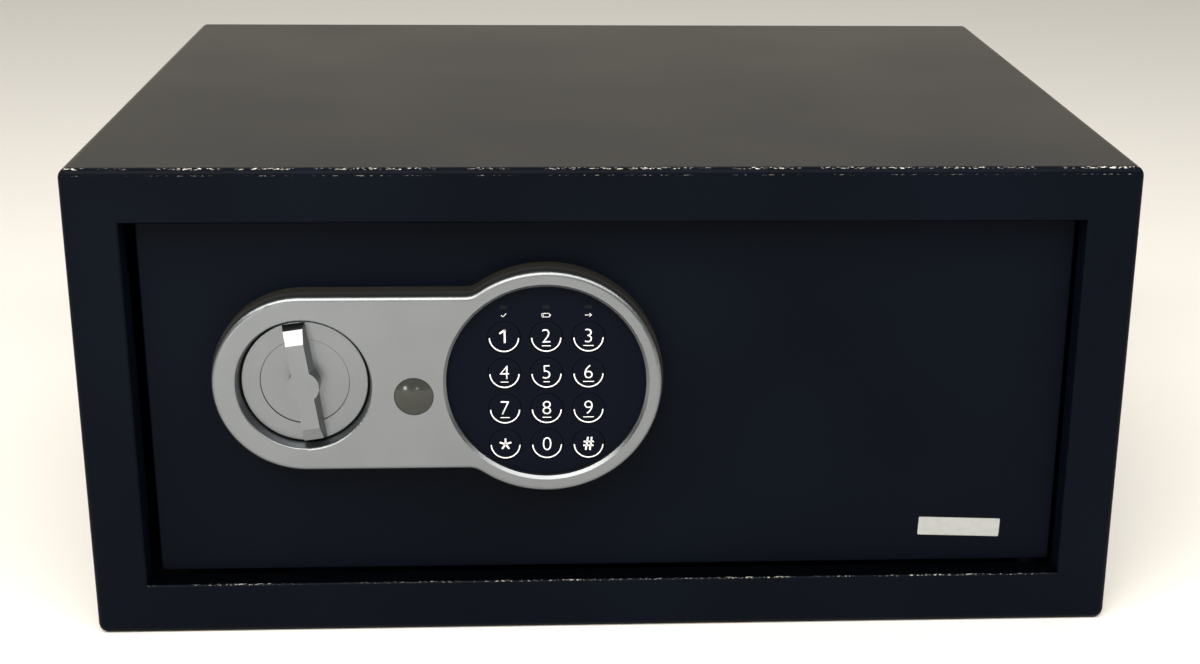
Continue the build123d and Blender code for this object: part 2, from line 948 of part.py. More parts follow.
def guide_stud(z):
    """Shouldered stud on the door's back that the carriage slides on."""
    shoulder_back = carriage_front - stud_play
    shoulder = rod_y(stud_x, z, stud_radius + stud_shoulder, door_back, shoulder_back)
    neck = rod_y(stud_x, z, stud_radius, shoulder_back, clip_back + stud_play)
    groove = rod_y(stud_x, z, stud_radius, clip_front, clip_back)
    core = rod_y(stud_x, z, stud_radius - stud_play, clip_front, clip_back)
    return shoulder + (neck - groove + core)


def stud_clip(z):
    """Retaining clip snapped into a stud's groove."""
    ring = rod_y(stud_x, z, stud_radius + clip_reach, clip_front, clip_back)
    ring -= rod_y(stud_x, z, stud_radius - stud_play, clip_front, clip_back)
    mouth = block(
        stud_x - stud_radius / 2,
        stud_x + stud_radius / 2,
        clip_front,
        clip_back,
        z - stud_radius - 2 * clip_reach,
        z,
    )
    return ring - mouth


# Solenoid


def solenoid_frame():
    """Bent steel frame round the coil, standing on two legs on the door."""
    left = plunger_x - solenoid_half
    right = plunger_x + solenoid_half
    web_back = carriage_mid - coil_radius
    web_front = web_back - solenoid_plate
    rear = carriage_mid + coil_radius
    frame = block(left, right, web_front, rear, solenoid_bottom, solenoid_top)
    frame -= block(
        left,
        right,
        web_back,
        rear,
        solenoid_bottom + solenoid_plate,
        solenoid_top - solenoid_plate,
    )
    frame += block(
        left, left + solenoid_plate, door_back, web_front, solenoid_bottom, solenoid_top
    )
    frame += block(
        right - solenoid_plate, right, door_back, web_front, solenoid_bottom, solenoid_top
    )
    bore = plunger_radius + coil_bore_clearance
    return frame - rod_z(
        plunger_x, carriage_mid, bore, solenoid_top - solenoid_plate, solenoid_top
    )


def solenoid_coil():
    """Wound coil on its bobbin, between the frame's two plates."""
    low = solenoid_bottom + solenoid_plate
    high = solenoid_top - solenoid_plate
    coil = rod_z(plunger_x, carriage_mid, coil_radius, low, high)
    return coil - rod_z(plunger_x, carriage_mid, plunger_radius + coil_bore_clearance, low, high)


def solenoid_plunger():
    """Steel plunger with a collar for its spring and a bevelled tip."""
    low = solenoid_bottom + coil_height / 2
    plunger = rod_z(plunger_x, carriage_mid, plunger_radius, low, plunger_top)
    plunger = chamfer(plunger.edges().group_by(Axis.Z)[-1], plunger_bevel)
    collar = rod_z(
        plunger_x,
        carriage_mid,
        plunger_radius + collar_reach,
        collar_bottom,
        collar_bottom + collar_thickness,
    )
    return plunger + collar


def plunger_spring():
    """Sleeve in place of the fine spring between the frame and the collar."""
    inner = plunger_radius + spring_clearance
    outer = rod_z(plunger_x, carriage_mid, inner + spring_wall, solenoid_top, collar_bottom)
    return outer - rod_z(plunger_x, carriage_mid, inner, solenoid_top, collar_bottom)


# Override lock


def override_lock_body():
    """Turned barrel through the panel and the door, its face just behind the cap."""
    barrel = rod_y(cap_x, cap_z, override_radius, override_face, override_end)
    head_back = override_face + override_head_thickness
    barrel += rod_y(cap_x, cap_z, override_radius + override_head, override_face, head_back)
    bore = override_core_radius + running_clearance
    return barrel - rod_y(cap_x, cap_z, bore, override_face, override_end)


def override_nut():
    """Flat hexagon nut behind the door."""
    flat = RegularPolygon(override_nut_flats / 2, 6, major_radius=False)
    hexagon = Pos(cap_x, cap_z) * flat
    nut = slab(hexagon, door_back, door_back + override_nut_thickness)
    return nut - rod_y(cap_x, cap_z, override_radius, door_back, door_back + override_nut_thickness)


def override_core():
    """Turning plug with a keyway in its face and a square tail."""
    core = rod_y(cap_x, cap_z, override_core_radius, override_face, tongue_front)
    half = core_square / 2
    core += block(
        cap_x - half, cap_x + half, tongue_front, tongue_back, cap_z - half, cap_z + half
    )
    return core - block(
        cap_x - keyway_width / 2,
        cap_x + keyway_width / 2,
        override_face,
        override_face + keyway_depth,
        cap_z - keyway_height / 2,
        cap_z + keyway_height / 2,
    )


def override_cam():
    """Tongue on the plug's tail that presses the plunger's collar down as it swings past."""
    hub = Pos(cap_x, cap_z) * Circle(tongue_hub_radius)
    tip = Pos(cap_x - tongue_length, cap_z) * Circle(tongue_end_radius)
    square = Pos(cap_x, cap_z) * Rectangle(core_square, core_square)
    return slab(make_hull((hub + tip).edges()) - square, tongue_front, tongue_back)


def override_cap():
    """Domed push-in cap over the keyhole, hollow behind."""
    rim = fascia_front
    skirt_back = fascia_front + cap_skirt
    curve = (cap_radius**2 + cap_dome**2) / (2 * cap_dome)
    ball = Pos(cap_x, rim - cap_dome + curve, cap_z) * Sphere(curve)
    cap = rod_y(cap_x, cap_z, cap_radius, rim - cap_dome, skirt_back) & ball
    return cap - rod_y(cap_x, cap_z, cap_radius - cap_wall, rim + cap_wall, skirt_back)


# Inside of the door


def cover_screws_at():
    """Places of the four screws in the inner cover."""
    left = knob_x + cover_post_offset
    right = cover_end - cover_screw_inset
    low = cover_bottom + cover_screw_inset
    high = cover_top - cover_screw_inset
    return [(left, low), (left, high), (right, low), (right, high)]


def inner_cover():
    """Folded sheet cover over the bolt work, open towards the door and the bolts."""
    cover = block(guide_left, cover_end, door_back, cover_back, cover_bottom, cover_top)
    bends = [
        edge
        for edge in cover.edges().group_by(Axis.Y)[-1]
        if edge.center().X > guide_left + cover_bend
    ]
    cover = fillet(bends, cover_bend)
    cover -= block(
        guide_left,
        cover_end - cover_sheet,
        door_back,
        cover_inner,
        cover_bottom + cover_sheet,
        cover_top - cover_sheet,
    )
    cover -= tray_box(cover_inner, cover_back)
    cover -= rod_y(reset_x, reset_z, reset_radius + reset_clearance, cover_inner, cover_back)
    for x, z in cover_screws_at():
        cover -= rod_y(x, z, cover_screw_radius, cover_inner, cover_back)
    return cover


def cover_post(x, z):
    """Threaded post between the door and the inner cover."""
    post = rod_y(x, z, cover_post_radius, door_back, cover_inner)
    return post - rod_y(x, z, cover_screw_radius, cover_inner - cover_screw_depth, cover_inner)


def cover_screw(x, z):
    """Pan-head screw through the inner cover."""
    head_end = cover_back + cover_screw_head_height
    head = rod_y(x, z, cover_screw_head, cover_back, head_end)
    head = fillet(head.edges().group_by(Axis.Y)[-1], cover_screw_head_height / 2)
    shank = rod_y(x, z, cover_screw_radius, cover_inner - cover_screw_depth, cover_back)
    across = cover_screw_head / 2
    slot = cover_screw_slot_width / 2
    floor = head_end - cover_screw_slot_depth
    long_slot = block(x - across, x + across, floor, head_end, z - slot, z + slot)
    cross_slot = block(x - slot, x + slot, floor, head_end, z - across, z + across)
    return head + shank - long_slot - cross_slot


def board_corners():
    """Places of the posts under the control board."""
    low_x = board_x + board_corner
    high_x = board_x + board_width - board_corner
    low_z = board_z + board_corner
    high_z = board_z + board_height - board_corner
    return [(x, z) for x in (low_x, high_x) for z in (low_z, high_z)]


def connectors():
    """Left, right, low and top edge of the board's three connectors."""
    size = connector_size
    top = board_z + board_height
    low = board_z + board_height / 2
    return {
        "keypad": (keypad_x - size, keypad_x + size, top - size, top),
        "battery": (board_x + board_width - size, board_x + board_width, low - size, low + size),
        "solenoid": (board_x, board_x + size, low - size, low + size),
    }


def control_board():
    """Circuit board with its processor, relay and connectors, as separate solids."""
    face = door_back + board_lift + board_thickness
    board = block(
        board_x,
        board_x + board_width,
        door_back + board_lift,
        face,
        board_z,
        board_z + board_height,
    )
    middle_z = board_z + board_height / 2
    chip = block(
        keypad_x - chip_half,
        keypad_x + chip_half,
        face,
        face + chip_height,
        middle_z - chip_half,
        middle_z + chip_half,
    )
    pieces = [board, chip]
    for x0, x1, z0, z1 in connectors().values():
        pieces.append(block(x0, x1, face, face + connector_height, z0, z1))
    return pieces


def board_post(x, z):
    """Spacer between the door and the control board."""
    return rod_y(x, z, post_radius, door_back, door_back + board_lift)


def lead(points, radius):
    """A round lead along straight runs joined by arcs."""
    if len(points) == 2:
        route = Line(*points)
    else:
        route = FilletPolyline(*points, radius=radius)
    start = Plane(origin=route @ 0, z_dir=route % 0)
    return sweep(start * Circle(lead_radius), path=route)


def wire_harness():
    """Leads from the keypad, the battery tray and the solenoid to the control board."""
    middle = door_back + board_lift + board_thickness + connector_height / 2
    plugs = connectors()
    keypad_top = plugs["keypad"][3]
    battery_side = plugs["battery"][1]
    solenoid_side = plugs["solenoid"][0]
    side_z = board_z + board_height / 2
    keypad_lead = lead(
        [
            (keypad_x, board_back, panel_z),
            (keypad_x, middle, panel_z),
            (keypad_x, middle, keypad_top),
        ],
        lead_bend,
    )
    tray_side = bay_x - tray_wall
    battery_y = bay_front - tray_wall + lead_radius
    solenoid_y = carriage_mid - coil_radius - solenoid_plate + lead_radius
    coil_side = plunger_x + solenoid_half
    battery_lead = lead([(battery_side, battery_y, side_z), (tray_side, battery_y, side_z)], 0)
    solenoid_lead = lead([(coil_side, solenoid_y, side_z), (solenoid_side, solenoid_y, side_z)], 0)
    return [keypad_lead, battery_lead, solenoid_lead]


# Battery compartment and code button


def tray_box(y0, y1):
    """The tray's outer box between two depths."""
    return block(
        bay_x - tray_wall,
        bay_x + bay_length + tray_wall,
        y0,
        y1,
        bay_z - tray_wall,
        bay_z + bay_height + tray_wall,
    )


def lid_edges():
    """Left, right, low and top edge of the battery lid."""
    reach = tray_rim - rail_width
    return (
        bay_x - reach,
        bay_x + bay_length + reach,
        bay_z - reach,
        bay_z + bay_height + reach,
    )


def battery_tray():
    """Moulded tray for the cells, with a rim and two rails for its lid."""
    rim_back = cover_back + tray_rim_thickness
    lid_back = rim_back + lid_play + lid_thickness
    rail_back = lid_back + lid_play + rail_lip_thickness
    left = bay_x - tray_rim
    right = bay_x + bay_length + tray_rim
    low = bay_z - tray_rim
    high = bay_z + bay_height + tray_rim
    tray = tray_box(bay_front - tray_wall, cover_back)
    tray += block(left, right, cover_back, rim_back, low, high)
    tray += block(left, left + rail_width - lid_play, rim_back, rail_back, low, high)
    tray += block(right - rail_width + lid_play, right, rim_back, rail_back, low, high)
    tray += block(left, left + rail_width + lid_lip, lid_back + lid_play, rail_back, low, high)
    tray += block(right - rail_width - lid_lip, right, lid_back + lid_play, rail_back, low, high)
    tray += block(left, right, rim_back, lid_back, low, low + rail_width - lid_play)
    return tray - block(
        bay_x, bay_x + bay_length, bay_front, rim_back, bay_z, bay_z + bay_height
    )


def battery_cell(index):
    """One cell with its raised contact."""
    z = bay_z + (index + 0.5) * (2 * cell_radius + cell_gap)
    y = bay_front + cell_radius + cell_seat
    low = bay_x + cell_end_room
    shoulder = low + cell_length - cell_nub
    body = rod_x(y, z, cell_radius, low, shoulder)
    return body + rod_x(y, z, cell_nub_radius, shoulder, low + cell_length)


def battery_cover():
    """Sliding lid with finger ribs near its upper edge."""
    left, right, low, high = lid_edges()
    start = cover_back + tray_rim_thickness + lid_play
    face = start + lid_thickness
    lid = block(left, right, start, face, low, high)
    middle = (left + right) / 2
    for index in range(lid_grip_count):
        z = high - lid_grip_drop - index * lid_grip_pitch
        lid += block(
            middle - lid_grip_half,
            middle + lid_grip_half,
            face,
            face + lid_grip_height,
            z - lid_grip_width / 2,
            z + lid_grip_width / 2,
        )
    return lid


def reset_switch():
    """Switch body behind the inner cover, bored for the code button."""
    half = reset_switch_half
    switch = block(
        reset_x - half,
        reset_x + half,
        cover_inner - reset_switch_depth,
        cover_inner,
        reset_z - half,
        reset_z + half,
    )
    depth = reset_length - reset_proud - cover_sheet + reset_travel + seat_gap
    bore = reset_radius + reset_clearance
    return switch - rod_y(reset_x, reset_z, bore, cover_inner - depth, cover_inner)


def reset_button():
    """Round button on the inside of the door for setting the code."""
    end = cover_back + reset_proud
    button = rod_y(reset_x, reset_z, reset_radius, end - reset_length, end)
    return fillet(button.edges().group_by(Axis.Y)[-1], reset_round)


def save_cabinet():
    """Write the pieces that stand still."""
    save("body_wrap", body_wrap())
    save("front_frame", front_frame())
    save("back_panel", back_panel())
    save("floor_mat", floor_mat())
    save("strike_plate", strike_plate())
    save("door_stop_tabs", stop_tab(), lower_stop_tab())
    upper = hinge_bracket(opening_top + sheet, 1)
    lower = hinge_bracket(opening_bottom - sheet, -1)
    save("hinge_brackets", upper, lower)


def save_door():
    """Write the door and what is fixed to it."""
    save("door_plate", door_plate())
    save("hinge_lugs", hinge_lug(True), hinge_lug(False))
    save("hinge_pins", hinge_pin(True), hinge_pin(False))
    save("hinge_washer", hinge_washer())
    save("panel_base", panel_base())
    save("panel_fascia", panel_fascia())
    save("panel_screws", *[panel_screw(x, z) for x, z in panel_bosses()])
    save("keypad_face", keypad_face())
    save("keypad_membrane", keypad_membrane())
    save("keypad_board", keypad_board())
    save("led_lenses", *[lamp_block(x, face_front - lens_proud, membrane_front) for x in key_columns])
    save("spindle_bush", spindle_bush())
    save("bolt_guide", bolt_guide())
    save("guide_studs", *[guide_stud(z) for z in stud_heights()])
    save("stud_clips", *[stud_clip(z) for z in stud_heights()])
    save("solenoid_frame", solenoid_frame())
    save("solenoid_coil", solenoid_coil())
    save("plunger_spring", plunger_spring())
    save("override_lock_body", override_lock_body())
    save("override_nut", override_nut())


def save_door_inside():
    """Write the inner cover and the parts that it hides."""
    save("inner_cover", inner_cover())
    save("cover_posts", *[cover_post(x, z) for x, z in cover_screws_at()])
    save("cover_screws", *[cover_screw(x, z) for x, z in cover_screws_at()])
    save("control_board", *control_board())
    save("board_posts", *[board_post(x, z) for x, z in board_corners()])
    save("wire_harness", *wire_harness())
    save("battery_tray", battery_tray())
    save("battery_cells", *[battery_cell(index) for index in range(cell_count)])
    save("reset_switch", reset_switch())


def save_moving():
    """Write the pieces that turn, slide or press."""
    save("knob", knob())
    save("knob_spindle", knob_spindle())
    save("drive_cam", drive_cam())
    save("bolt_carriage", bolt_carriage())
    save("locking_bolts", *[locking_bolt(z) for z in bolt_heights()])
    save("bolt_screws", *[bolt_screw(z) for z in bolt_heights()])
    save("solenoid_plunger", solenoid_plunger())
    save("override_core", override_core())
    save("override_cam", override_cam())
    save("override_cap", override_cap())
    for name, x, z in key_places():
        save(name, key(x, z))
    save("battery_cover", battery_cover())
    save("reset_button", reset_button())


os.makedirs("parts", exist_ok=True)
save_cabinet()
save_door()
save_door_inside()
save_moving()
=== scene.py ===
"""The finishes, print, label, mat and spring of a small electronic safe, with its floor, light and camera."""

import json
import math

import bmesh
import bpy
from mathutils import Euler, Matrix, Vector, noise


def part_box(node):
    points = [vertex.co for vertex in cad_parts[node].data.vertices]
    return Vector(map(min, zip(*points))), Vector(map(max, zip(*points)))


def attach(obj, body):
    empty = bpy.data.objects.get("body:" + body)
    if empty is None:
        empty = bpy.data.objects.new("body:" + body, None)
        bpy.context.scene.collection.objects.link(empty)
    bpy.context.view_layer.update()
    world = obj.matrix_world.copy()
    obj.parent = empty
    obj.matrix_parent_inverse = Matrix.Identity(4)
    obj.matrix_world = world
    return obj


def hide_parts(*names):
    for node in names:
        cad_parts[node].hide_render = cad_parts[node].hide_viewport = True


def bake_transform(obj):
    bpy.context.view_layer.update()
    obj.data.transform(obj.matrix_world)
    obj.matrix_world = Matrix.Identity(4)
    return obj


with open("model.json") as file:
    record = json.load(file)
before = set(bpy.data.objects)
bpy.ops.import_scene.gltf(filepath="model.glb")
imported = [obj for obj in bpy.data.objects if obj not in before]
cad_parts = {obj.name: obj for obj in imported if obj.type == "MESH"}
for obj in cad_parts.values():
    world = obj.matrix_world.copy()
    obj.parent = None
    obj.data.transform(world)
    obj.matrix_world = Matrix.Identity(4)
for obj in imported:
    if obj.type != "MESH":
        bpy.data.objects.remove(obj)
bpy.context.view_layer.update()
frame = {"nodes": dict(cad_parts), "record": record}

MM = 0.001

# Places read from the frame
DOOR_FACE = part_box("door_plate")[0].y
KEY_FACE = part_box("key_5")[0].y
PANEL_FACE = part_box("keypad_face")[0].y
KNOB_LOW, KNOB_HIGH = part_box("knob")
KNOB_CENTRE = ((KNOB_LOW.x + KNOB_HIGH.x) / 2, 0.0, (KNOB_LOW.z + KNOB_HIGH.z) / 2)
KNOB_DISC = KNOB_LOW.y + 7.6 * MM  # just in front of the disc, so that the painted shade line in the step stays off the bar on it
KNOB_STEP = 18.0 * MM  # radius of the fine step in the disc
KNOB_STEP_HALF = 0.16 * MM
CELL_BAND = 13.0 * MM  # width of the band at a cell's nub

# Print on the keypad
ARC_RADIUS = 5.9 * MM
ARC_LINE = 0.48 * MM
ARC_START = 182.0  # degrees, from the left end, below the key's centre
ARC_SWEEP = 176.0
ARC_STEP = 6.0
DIGIT_HEIGHT = 5.75 * MM
DIGIT_RISE = 0.6 * MM
LAST_ROW = "*0#"
LAST_ROW_RISE = 0.15 * MM
DIGIT_BOLD = -0.09 * MM
STROKE = 0.7 * MM
DASH_HEIGHT = 0.3 * MM
DASH_DROP = 3.6 * MM
DASHES = {"2": 3.6, "3": 4.2, "4": 3.2, "5": 2.6, "6": 4.5, "7": 3.8, "8": 3.6, "9": 4.4}  # widths in mm
INK = 0.03 * MM

# Signs that the plain type draws too weakly, as strokes from point to point on a sign 2 units high
STROKES = {
    "1": [(0.12, -1.0, 0.12, 1.0), (0.12, 1.0, -0.6, 0.5)],
    "*": [
        (0.0, 0.0, 0.0, 0.85), (0.0, 0.0, 0.81, 0.27), (0.0, 0.0, 0.5, -0.69), (0.0, 0.0, -0.5, -0.69),
        (0.0, 0.0, -0.81, 0.27),
    ],
    "#": [
        (-0.45, -1.0, -0.12, 1.0), (0.22, -1.0, 0.5, 1.0), (-0.66, 0.33, 0.72, 0.33),
        (-0.72, -0.33, 0.66, -0.33),
    ],
}

# Plain signs under the lamp windows, tick, battery and arrow, as strokes in millimetres
LAMP_SIGNS = {
    "key_1": [(-0.9, 0.0, -0.25, -0.65), (-0.25, -0.65, 1.0, 0.75)],
    "key_2": [
        (-1.7, -0.75, 1.4, -0.75), (-1.7, 0.75, 1.4, 0.75), (-1.7, -0.75, -1.7, 0.75),
        (1.4, -0.75, 1.4, 0.75), (1.8, -0.3, 1.8, 0.3), (-1.1, -0.3, -1.1, 0.3),
    ],
    "key_3": [(-1.3, 0.0, 1.3, 0.0), (0.5, 0.65, 1.3, 0.0), (0.5, -0.65, 1.3, 0.0)],
}
LAMP_STROKE = 0.2 * MM
LAMP_DROP = 3.5 * MM  # from a lamp window to the sign under it

# Label on the door
LABEL_SIZE = (35.3 * MM, 8.2 * MM)
LABEL_PLACE = (151.0 * MM, 40.1 * MM)
LABEL_TILT = 2.2
LABEL_THICKNESS = 0.12 * MM
LABEL_CORNER = 0.5 * MM

# Mat on the cabinet's floor
MAT_HOLE = 14.0 * MM
MAT_HOLE_SIDES = 32
MAT_HOLE_X = 150.0 * MM  # from the middle to the holes
MAT_HOLE_Y = 100.0 * MM
MAT_GRID = 20.0 * MM
MAT_TOP = 0.3 * MM  # from the top of its space down to its face
MAT_LIE = 0.25 * MM  # height of the slow waves in it
MAT_WAVES = 12.0  # of them in a metre

# Spring round the solenoid's plunger
WIRE_RADIUS = 0.4 * MM
WIRE_SIDES = 8
SPRING_TURNS = 5
SPRING_STEPS = 28  # in a turn

# Painted highlights, pale glints in broken lines on the edges that catch the light: height, half width, half
# length and strength of each broken line
EDGE_LINES = (
    (199.6 * MM, 0.26 * MM, 215.0 * MM, 0.9),
    (197.2 * MM, 0.14 * MM, 215.0 * MM, 0.2),
    (21.75 * MM, 0.2 * MM, 193.0 * MM, 0.4),
)
EDGE_FRONT = -172.3 * MM
EDGE_REACH = 193.2 * MM  # half the width of the opening
LEDGE = 22.0 * MM  # height of the turned-in edge under the door
LEDGE_HALF = 0.6 * MM
LEDGE_FRONT = -174.2 * MM

# Camera, placed by the corners of the cabinet in the photograph
CAMERA_PLACE = (-26.0 * MM, -936.7 * MM, 378.1 * MM)
CAMERA_TURN = (70.304, -0.667, -3.318)
CAMERA_LENS = 59.2
CAMERA_SENSOR = 36.0
CAMERA_SHIFT = (-0.0508, 0.0525)

# Floor, and brightness of the surround
FLOOR_REACH = 30.0  # metres from its middle to its edge
FRONT_GLOW = 0.12
BACK_GLOW = 1.4

# Soft lights: place, aim, width and depth in metres, power in watts and colour
LIGHTS = {
    # Drawn as the bright line along the rolled edges that face up
    "overhead": ((0.0, -0.62, 1.25), (0, -0.17, 0.1), (3.6, 0.3), 21.0, "#fffaf2"),
    "between": ((-0.1, -1.05, 1.3), (0, -0.17, 0.1), (3.0, 0.62), 27.0, "#fffaf2"),
    # Caught by the bevel at the upper end of the knob's bar
    "window": ((-0.45, -1.5, 1.15), (-0.1, -0.17, 0.1), (1.1, 0.4), 13.0, "#fff6e4"),
    # The two small spots on the domed cap
    "cap_lamp_left": ((-0.61, -1.58, 0.12), (-0.08, -0.18, 0.106), (0.12, 0.12), 2.0, "#ffffff"),
    "cap_lamp_front": ((0.0, -1.68, 0.12), (-0.08, -0.18, 0.106), (0.14, 0.07), 0.5, "#ffffff"),
}

# The middle range of a noise, which runs from one shade or roughness to another
DRIFT = {"From Min": 0.3, "From Max": 0.7}


def linear(colour):
    """An sRGB hex colour as linear red, green, blue and alpha."""
    parts = [int(colour[start:start + 2], 16) / 255 for start in (1, 3, 5)]
    return [part / 12.92 if part <= 0.04045 else ((part + 0.055) / 1.055) ** 2.4 for part in parts] + [1.0]


def per(size):
    """The scale of a pattern that repeats every so many millimetres."""
    return 1 / (size * MM)


def add(tree, kind, inputs=None, output=0, **settings):
    """One node with its settings, its values and the links into it. It gives back one of its outputs."""
    node = tree.nodes.new(kind)
    for name, value in settings.items():
        setattr(node, name, value)
    for name, value in (inputs or {}).items():
        if isinstance(value, bpy.types.NodeSocket):
            tree.links.new(value, node.inputs[name])
        else:
            node.inputs[name].default_value = value
    return node.outputs[output] if node.outputs else None


def begin(name):
    """A finish with nothing in it but the object coordinates."""
    finish = bpy.data.materials.new(name)
    finish.use_nodes = True
    tree = finish.node_tree
    tree.nodes.clear()
    return finish, tree, add(tree, "ShaderNodeTexCoord", output="Object")


def close(tree, **inputs):
    """The surface shader and the output that end a finish."""
    named = {name.replace("_", " "): value for name, value in inputs.items()}
    add(tree, "ShaderNodeOutputMaterial", {"Surface": add(tree, "ShaderNodeBsdfPrincipled", named)})


def mottled(tree, pattern, dark, light):
    """A colour that drifts from one hex value to another with a noise."""
    share = add(tree, "ShaderNodeMapRange", {"Value": pattern, **DRIFT})
    return add(tree, "ShaderNodeMix", {0: share, 6: linear(dark), 7: linear(light)}, 2, data_type="RGBA")


def glints(tree, place):
    """Where pale glints are painted as highlights, in broken lines along the edges that face up, as if the
    coat's grain caught the light.
    """
    x, y, z = [add(tree, "ShaderNodeSeparateXYZ", {"Vector": place}, axis) for axis in "XYZ"]
    lines = 0.0
    for height, half, reach, strength in EDGE_LINES:
        level = add(tree, "ShaderNodeMath", {0: z, 1: height, 2: half}, operation="COMPARE")
        within = add(tree, "ShaderNodeMath", {0: x, 1: 0.0, 2: reach}, operation="COMPARE")
        line = add(tree, "ShaderNodeMath", {0: level, 1: within}, operation="MULTIPLY")
        share = {0: line, 1: strength, 2: lines}
        lines = add(tree, "ShaderNodeMath", share, operation="MULTIPLY_ADD", use_clamp=True)
    front = add(tree, "ShaderNodeMath", {0: y, 1: EDGE_FRONT}, operation="LESS_THAN")
    edges = add(tree, "ShaderNodeMath", {0: lines, 1: front}, operation="MULTIPLY")
    # Specks 0.6 mm high and longer than that, in groups of some 18 mm
    long = add(tree, "ShaderNodeMapping", {"Vector": place, "Scale": (0.4, 1.0, 1.0)})
    speck = add(tree, "ShaderNodeTexNoise", {"Vector": long, "Scale": per(0.6), "Detail": 1.0})
    speck = add(tree, "ShaderNodeMapRange", {"Value": speck, "From Min": 0.54, "From Max": 0.68})
    group = add(tree, "ShaderNodeTexNoise", {"Vector": place, "Scale": per(18.0)})
    group = add(tree, "ShaderNodeMapRange", {"Value": group, "From Min": 0.4, "From Max": 0.62})
    broken = add(tree, "ShaderNodeMath", {0: speck, 1: group}, operation="MULTIPLY")
    return add(tree, "ShaderNodeMath", {0: edges, 1: broken}, operation="MULTIPLY")


def ledge(tree, place):
    """Painted shade on the turned-in edge under the door, which lies in the shade."""
    x, y, z = [add(tree, "ShaderNodeSeparateXYZ", {"Vector": place}, axis) for axis in "XYZ"]
    behind = add(tree, "ShaderNodeMath", {0: y, 1: LEDGE_FRONT}, operation="GREATER_THAN")
    level = add(tree, "ShaderNodeMath", {0: z, 1: LEDGE, 2: LEDGE_HALF}, operation="COMPARE")
    within = add(tree, "ShaderNodeMath", {0: x, 1: 0.0, 2: EDGE_REACH}, operation="COMPARE")
    edge = add(tree, "ShaderNodeMath", {0: level, 1: within}, operation="MULTIPLY")
    return add(tree, "ShaderNodeMath", {0: edge, 1: behind}, operation="MULTIPLY")


def powder_coat(name, with_painted_light):
    """Near-black navy powder coat: fine orange peel, grey at a glancing angle, and where asked, painted shade
    on the ledge under the door and painted highlights as pale glints on its edges.
    """
    finish, tree, place = begin(name)
    blotch = add(tree, "ShaderNodeTexNoise", {"Vector": place, "Scale": per(90.0), "Detail": 1.0})
    peel = add(tree, "ShaderNodeTexNoise", {"Vector": place, "Scale": per(1.4)})
    colour = mottled(tree, blotch, "#050911", "#070c15")
    if with_painted_light:
        # Painted shade: the ledge under the door darkened to near black
        painted_shade = {0: ledge(tree, place), 6: colour, 7: linear("#010204")}
        colour = add(tree, "ShaderNodeMix", painted_shade, 2, data_type="RGBA")
        # Painted highlight: pale, nearly white glints on the upper bends and on the lower edge of the opening
        bright = {0: glints(tree, place), 6: colour, 7: linear("#f2efe6")}
        colour = add(tree, "ShaderNodeMix", bright, 2, data_type="RGBA")
    close(
        tree,
        Base_Color=colour,
        Roughness=add(tree, "ShaderNodeMapRange", {"Value": blotch, **DRIFT, "To Min": 0.40, "To Max": 0.43}),
        Specular_IOR_Level=0.035,
        Normal=add(tree, "ShaderNodeBump", {"Height": peel, "Distance": 0.02 * MM}),
    )
    return finish


def satin_silver(name, step=None):
    """Silver lacquer over moulded plastic: even satin grey, finest metallic grain, and a painted shade line
    in a round step.
    """
    finish, tree, place = begin(name)
    flake = add(tree, "ShaderNodeTexNoise", {"Vector": place, "Scale": per(0.5)})
    cloud = add(tree, "ShaderNodeTexNoise", {"Vector": place, "Scale": per(30.0)})
    colour = mottled(tree, cloud, "#7c8084", "#818589")
    if step:
        centre, radius, half = step
        flat = add(tree, "ShaderNodeVectorMath", {0: place, 1: (1.0, 0.0, 1.0)}, operation="MULTIPLY")
        away = add(tree, "ShaderNodeVectorMath", {0: flat, 1: centre}, "Value", operation="DISTANCE")
        ring = add(tree, "ShaderNodeMath", {0: away, 1: radius, 2: half}, operation="COMPARE")
        y = add(tree, "ShaderNodeSeparateXYZ", {"Vector": place}, "Y")
        behind = add(tree, "ShaderNodeMath", {0: y, 1: KNOB_DISC}, operation="GREATER_THAN")
        step_shade = add(tree, "ShaderNodeMath", {0: ring, 1: behind}, operation="MULTIPLY")
        # Painted shade: a dark grey line along the knob's round step
        shades = {0: step_shade, 6: colour, 7: linear("#4b4b4a")}
        colour = add(tree, "ShaderNodeMix", shades, 2, data_type="RGBA")
    close(
        tree,
        Base_Color=colour,
        Metallic=1.0,
        Roughness=add(tree, "ShaderNodeMapRange", {"Value": flake, **DRIFT, "To Min": 0.34, "To Max": 0.40}),
        Normal=add(tree, "ShaderNodeBump", {"Height": flake, "Distance": 0.004 * MM}),
    )
    return finish


def moulded(name, dark, light, roughness, grain, depth, shine=0.5):
    """Moulded plastic with the fine grain of its tool, whose size and depth are in millimetres."""
    finish, tree, place = begin(name)
    fine = add(tree, "ShaderNodeTexNoise", {"Vector": place, "Scale": per(grain)})
    close(
        tree,
        Base_Color=mottled(tree, fine, dark, light),
        Roughness=roughness,
        Specular_IOR_Level=shine,
        Normal=add(tree, "ShaderNodeBump", {"Height": fine, "Distance": depth * MM}),
    )
    return finish


def zinc_plate():
    """Zinc-plated steel: cool grey metal with faint drawn lines and cloudy patches."""
    finish, tree, place = begin("zinc_plated_steel")
    upright = add(tree, "ShaderNodeMapping", {"Vector": place, "Scale": (1.0, 1.0, 0.12)})
    lines = add(tree, "ShaderNodeTexNoise", {"Vector": upright, "Scale": per(0.6)})
    cloud = add(tree, "ShaderNodeTexNoise", {"Vector": place, "Scale": per(12.0), "Detail": 3.0})
    close(
        tree,
        Base_Color=mottled(tree, cloud, "#a3a7ab", "#c2c5c7"),
        Metallic=1.0,
        Roughness=add(tree, "ShaderNodeMapRange", {"Value": lines, **DRIFT, "To Min": 0.28, "To Max": 0.42}),
        Normal=add(tree, "ShaderNodeBump", {"Height": lines, "Distance": 0.01 * MM}),
    )
    return finish


